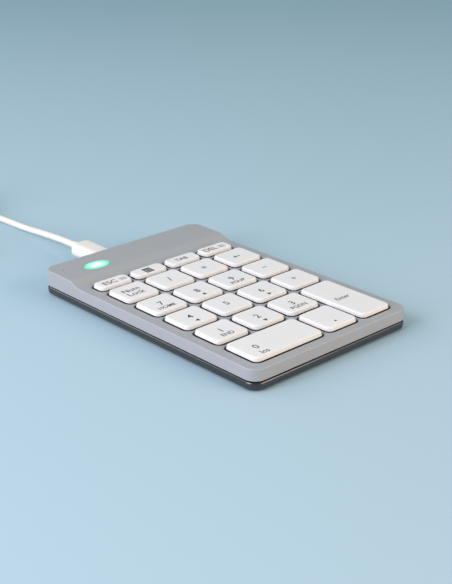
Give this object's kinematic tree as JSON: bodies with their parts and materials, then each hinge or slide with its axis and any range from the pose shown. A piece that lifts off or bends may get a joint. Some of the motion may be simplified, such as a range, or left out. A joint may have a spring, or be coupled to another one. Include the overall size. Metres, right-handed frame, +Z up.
{
  "type": "numeric keypad",
  "caption": "Slim corded numeric keypad: low silver-grey case with a raised back edge, white island keycaps that press down, and a plug-in lead.",
  "frame": {"origin": "on the table plane (bottom of the feet), under the middle of the case", "axes": "+Y away from the user, towards the lead; +X to the user's right; +Z up"},
  "size_m": [0.1001, 0.268, 0.0139],
  "materials": {
    "cover": "fine matt silver grey moulding",
    "base": "gloss black moulding",
    "keycap": "satin white moulding with printed legends",
    "indicator": "lit green diffuser",
    "diffuser": "clear to milky light pipe",
    "frame": "dark moulding",
    "silicone": "translucent silicone",
    "film": "printed polyester film",
    "steel": "plain steel",
    "laminate": "green circuit board",
    "chip": "black epoxy",
    "foot": "dark rubber",
    "jacket": "off-white soft plastic",
    "strap": "soft strap"
  },
  "bodies": {
    "case": {"top_cover": "cover", "base_tray": "base", "indicator_window": "indicator", "key_frame": "frame", "dome_sheet": "silicone", "switch_sheet": "film", "backing_plate": "steel", "circuit_board": "laminate", "usb_socket": "steel", "controller_chip": "chip", "membrane_connector": "chip", "indicator_lamp": "diffuser", "lock_light_pipe": "diffuser", "case_screw_1": "steel", "case_screw_2": "steel", "case_screw_3": "steel", "case_screw_4": "steel", "case_screw_5": "steel", "case_screw_6": "steel", "foot_1": "foot", "foot_2": "foot", "foot_3": "foot", "foot_4": "foot"},
    "key_1": {"key_1": "keycap"},
    "key_2": {"key_2": "keycap"},
    "key_3": {"key_3": "keycap"},
    "key_enter": {"key_enter": "keycap"},
    "key_4": {"key_4": "keycap"},
    "key_5": {"key_5": "keycap"},
    "key_6": {"key_6": "keycap"},
    "key_plus": {"key_plus": "keycap"},
    "key_7": {"key_7": "keycap"},
    "key_8": {"key_8": "keycap"},
    "key_9": {"key_9": "keycap"},
    "key_minus": {"key_minus": "keycap"},
    "key_num_lock": {"key_num_lock": "keycap"},
    "key_divide": {"key_divide": "keycap"},
    "key_multiply": {"key_multiply": "keycap"},
    "key_backspace": {"key_backspace": "keycap"},
    "key_0": {"key_0": "keycap"},
    "key_decimal": {"key_decimal": "keycap"},
    "key_esc": {"key_esc": "keycap"},
    "key_calculator": {"key_calculator": "keycap"},
    "key_tab": {"key_tab": "keycap"},
    "key_delete": {"key_delete": "keycap"},
    "key_0_bar": {"key_0_bar": "steel"},
    "key_enter_bar": {"key_enter_bar": "steel"},
    "lead": {"lead_plug_shell": "steel", "lead_plug_body": "jacket", "lead_cord": "jacket", "lead_coil": "jacket", "lead_tie": "strap", "lead_tail": "jacket", "far_plug_body": "jacket", "far_plug_shell": "steel"}
  },
  "joints": [
    {"name": "key_1_press", "type": "slide", "parent": "case", "child": "key_1", "axis": [0, 0, -1], "range_m": [0, 0.0015], "stiffness_N_per_m": 200, "springref_m": -0.00125, "deforming": ["dome_sheet"]},
    {"name": "key_2_press", "type": "slide", "parent": "case", "child": "key_2", "axis": [0, 0, -1], "range_m": [0, 0.0015], "stiffness_N_per_m": 200, "springref_m": -0.00125},
    {"name": "key_3_press", "type": "slide", "parent": "case", "child": "key_3", "axis": [0, 0, -1], "range_m": [0, 0.0015], "stiffness_N_per_m": 200, "springref_m": -0.00125},
    {"name": "key_enter_press", "type": "slide", "parent": "case", "child": "key_enter", "axis": [0, 0, -1], "range_m": [0, 0.0015], "stiffness_N_per_m": 200, "springref_m": -0.00125},
    {"name": "key_4_press", "type": "slide", "parent": "case", "child": "key_4", "axis": [0, 0, -1], "range_m": [0, 0.0015], "stiffness_N_per_m": 200, "springref_m": -0.00125},
    {"name": "key_5_press", "type": "slide", "parent": "case", "child": "key_5", "axis": [0, 0, -1], "range_m": [0, 0.0015], "stiffness_N_per_m": 200, "springref_m": -0.00125},
    {"name": "key_6_press", "type": "slide", "parent": "case", "child": "key_6", "axis": [0, 0, -1], "range_m": [0, 0.0015], "stiffness_N_per_m": 200, "springref_m": -0.00125},
    {"name": "key_plus_press", "type": "slide", "parent": "case", "child": "key_plus", "axis": [0, 0, -1], "range_m": [0, 0.0015], "stiffness_N_per_m": 200, "springref_m": -0.00125},
    {"name": "key_7_press", "type": "slide", "parent": "case", "child": "key_7", "axis": [0, 0, -1], "range_m": [0, 0.0015], "stiffness_N_per_m": 200, "springref_m": -0.00125},
    {"name": "key_8_press", "type": "slide", "parent": "case", "child": "key_8", "axis": [0, 0, -1], "range_m": [0, 0.0015], "stiffness_N_per_m": 200, "springref_m": -0.00125},
    {"name": "key_9_press", "type": "slide", "parent": "case", "child": "key_9", "axis": [0, 0, -1], "range_m": [0, 0.0015], "stiffness_N_per_m": 200, "springref_m": -0.00125},
    {"name": "key_minus_press", "type": "slide", "parent": "case", "child": "key_minus", "axis": [0, 0, -1], "range_m": [0, 0.0015], "stiffness_N_per_m": 200, "springref_m": -0.00125},
    {"name": "key_num_lock_press", "type": "slide", "parent": "case", "child": "key_num_lock", "axis": [0, 0, -1], "range_m": [0, 0.0015], "stiffness_N_per_m": 200, "springref_m": -0.00125},
    {"name": "key_divide_press", "type": "slide", "parent": "case", "child": "key_divide", "axis": [0, 0, -1], "range_m": [0, 0.0015], "stiffness_N_per_m": 200, "springref_m": -0.00125},
    {"name": "key_multiply_press", "type": "slide", "parent": "case", "child": "key_multiply", "axis": [0, 0, -1], "range_m": [0, 0.0015], "stiffness_N_per_m": 200, "springref_m": -0.00125},
    {"name": "key_backspace_press", "type": "slide", "parent": "case", "child": "key_backspace", "axis": [0, 0, -1], "range_m": [0, 0.0015], "stiffness_N_per_m": 200, "springref_m": -0.00125},
    {"name": "key_0_press", "type": "slide", "parent": "case", "child": "key_0", "axis": [0, 0, -1], "range_m": [0, 0.0015], "stiffness_N_per_m": 200, "springref_m": -0.00125},
    {"name": "key_decimal_press", "type": "slide", "parent": "case", "child": "key_decimal", "axis": [0, 0, -1], "range_m": [0, 0.0015], "stiffness_N_per_m": 200, "springref_m": -0.00125},
    {"name": "key_esc_press", "type": "slide", "parent": "case", "child": "key_esc", "axis": [0, 0, -1], "range_m": [0, 0.0015], "stiffness_N_per_m": 200, "springref_m": -0.00125},
    {"name": "key_calculator_press", "type": "slide", "parent": "case", "child": "key_calculator", "axis": [0, 0, -1], "range_m": [0, 0.0015], "stiffness_N_per_m": 200, "springref_m": -0.00125},
    {"name": "key_tab_press", "type": "slide", "parent": "case", "child": "key_tab", "axis": [0, 0, -1], "range_m": [0, 0.0015], "stiffness_N_per_m": 200, "springref_m": -0.00125},
    {"name": "key_delete_press", "type": "slide", "parent": "case", "child": "key_delete", "axis": [0, 0, -1], "range_m": [0, 0.0015], "stiffness_N_per_m": 200, "springref_m": -0.00125},
    {"name": "key_0_bar_swing", "type": "hinge", "parent": "case", "child": "key_0_bar", "pos_m": [-0.019, -0.05597, 0.00745], "axis": [1, 0, 0], "range_deg": [-20, 0]},
    {"name": "key_enter_bar_swing", "type": "hinge", "parent": "case", "child": "key_enter_bar", "pos_m": [0.0229, -0.04172, 0.00745], "axis": [0, 1, 0], "range_deg": [0, 20]},
    {"name": "plug_pull", "type": "slide", "parent": "case", "child": "lead", "axis": [0, 1, 0], "range_m": [0, 0.008]}
  ],
  "couplings": [
    {"joint": "key_0_bar_swing", "follows": "key_0_press", "rad_per_m": -198.5},
    {"joint": "key_enter_bar_swing", "follows": "key_enter_press", "rad_per_m": 198.5}
  ]
}
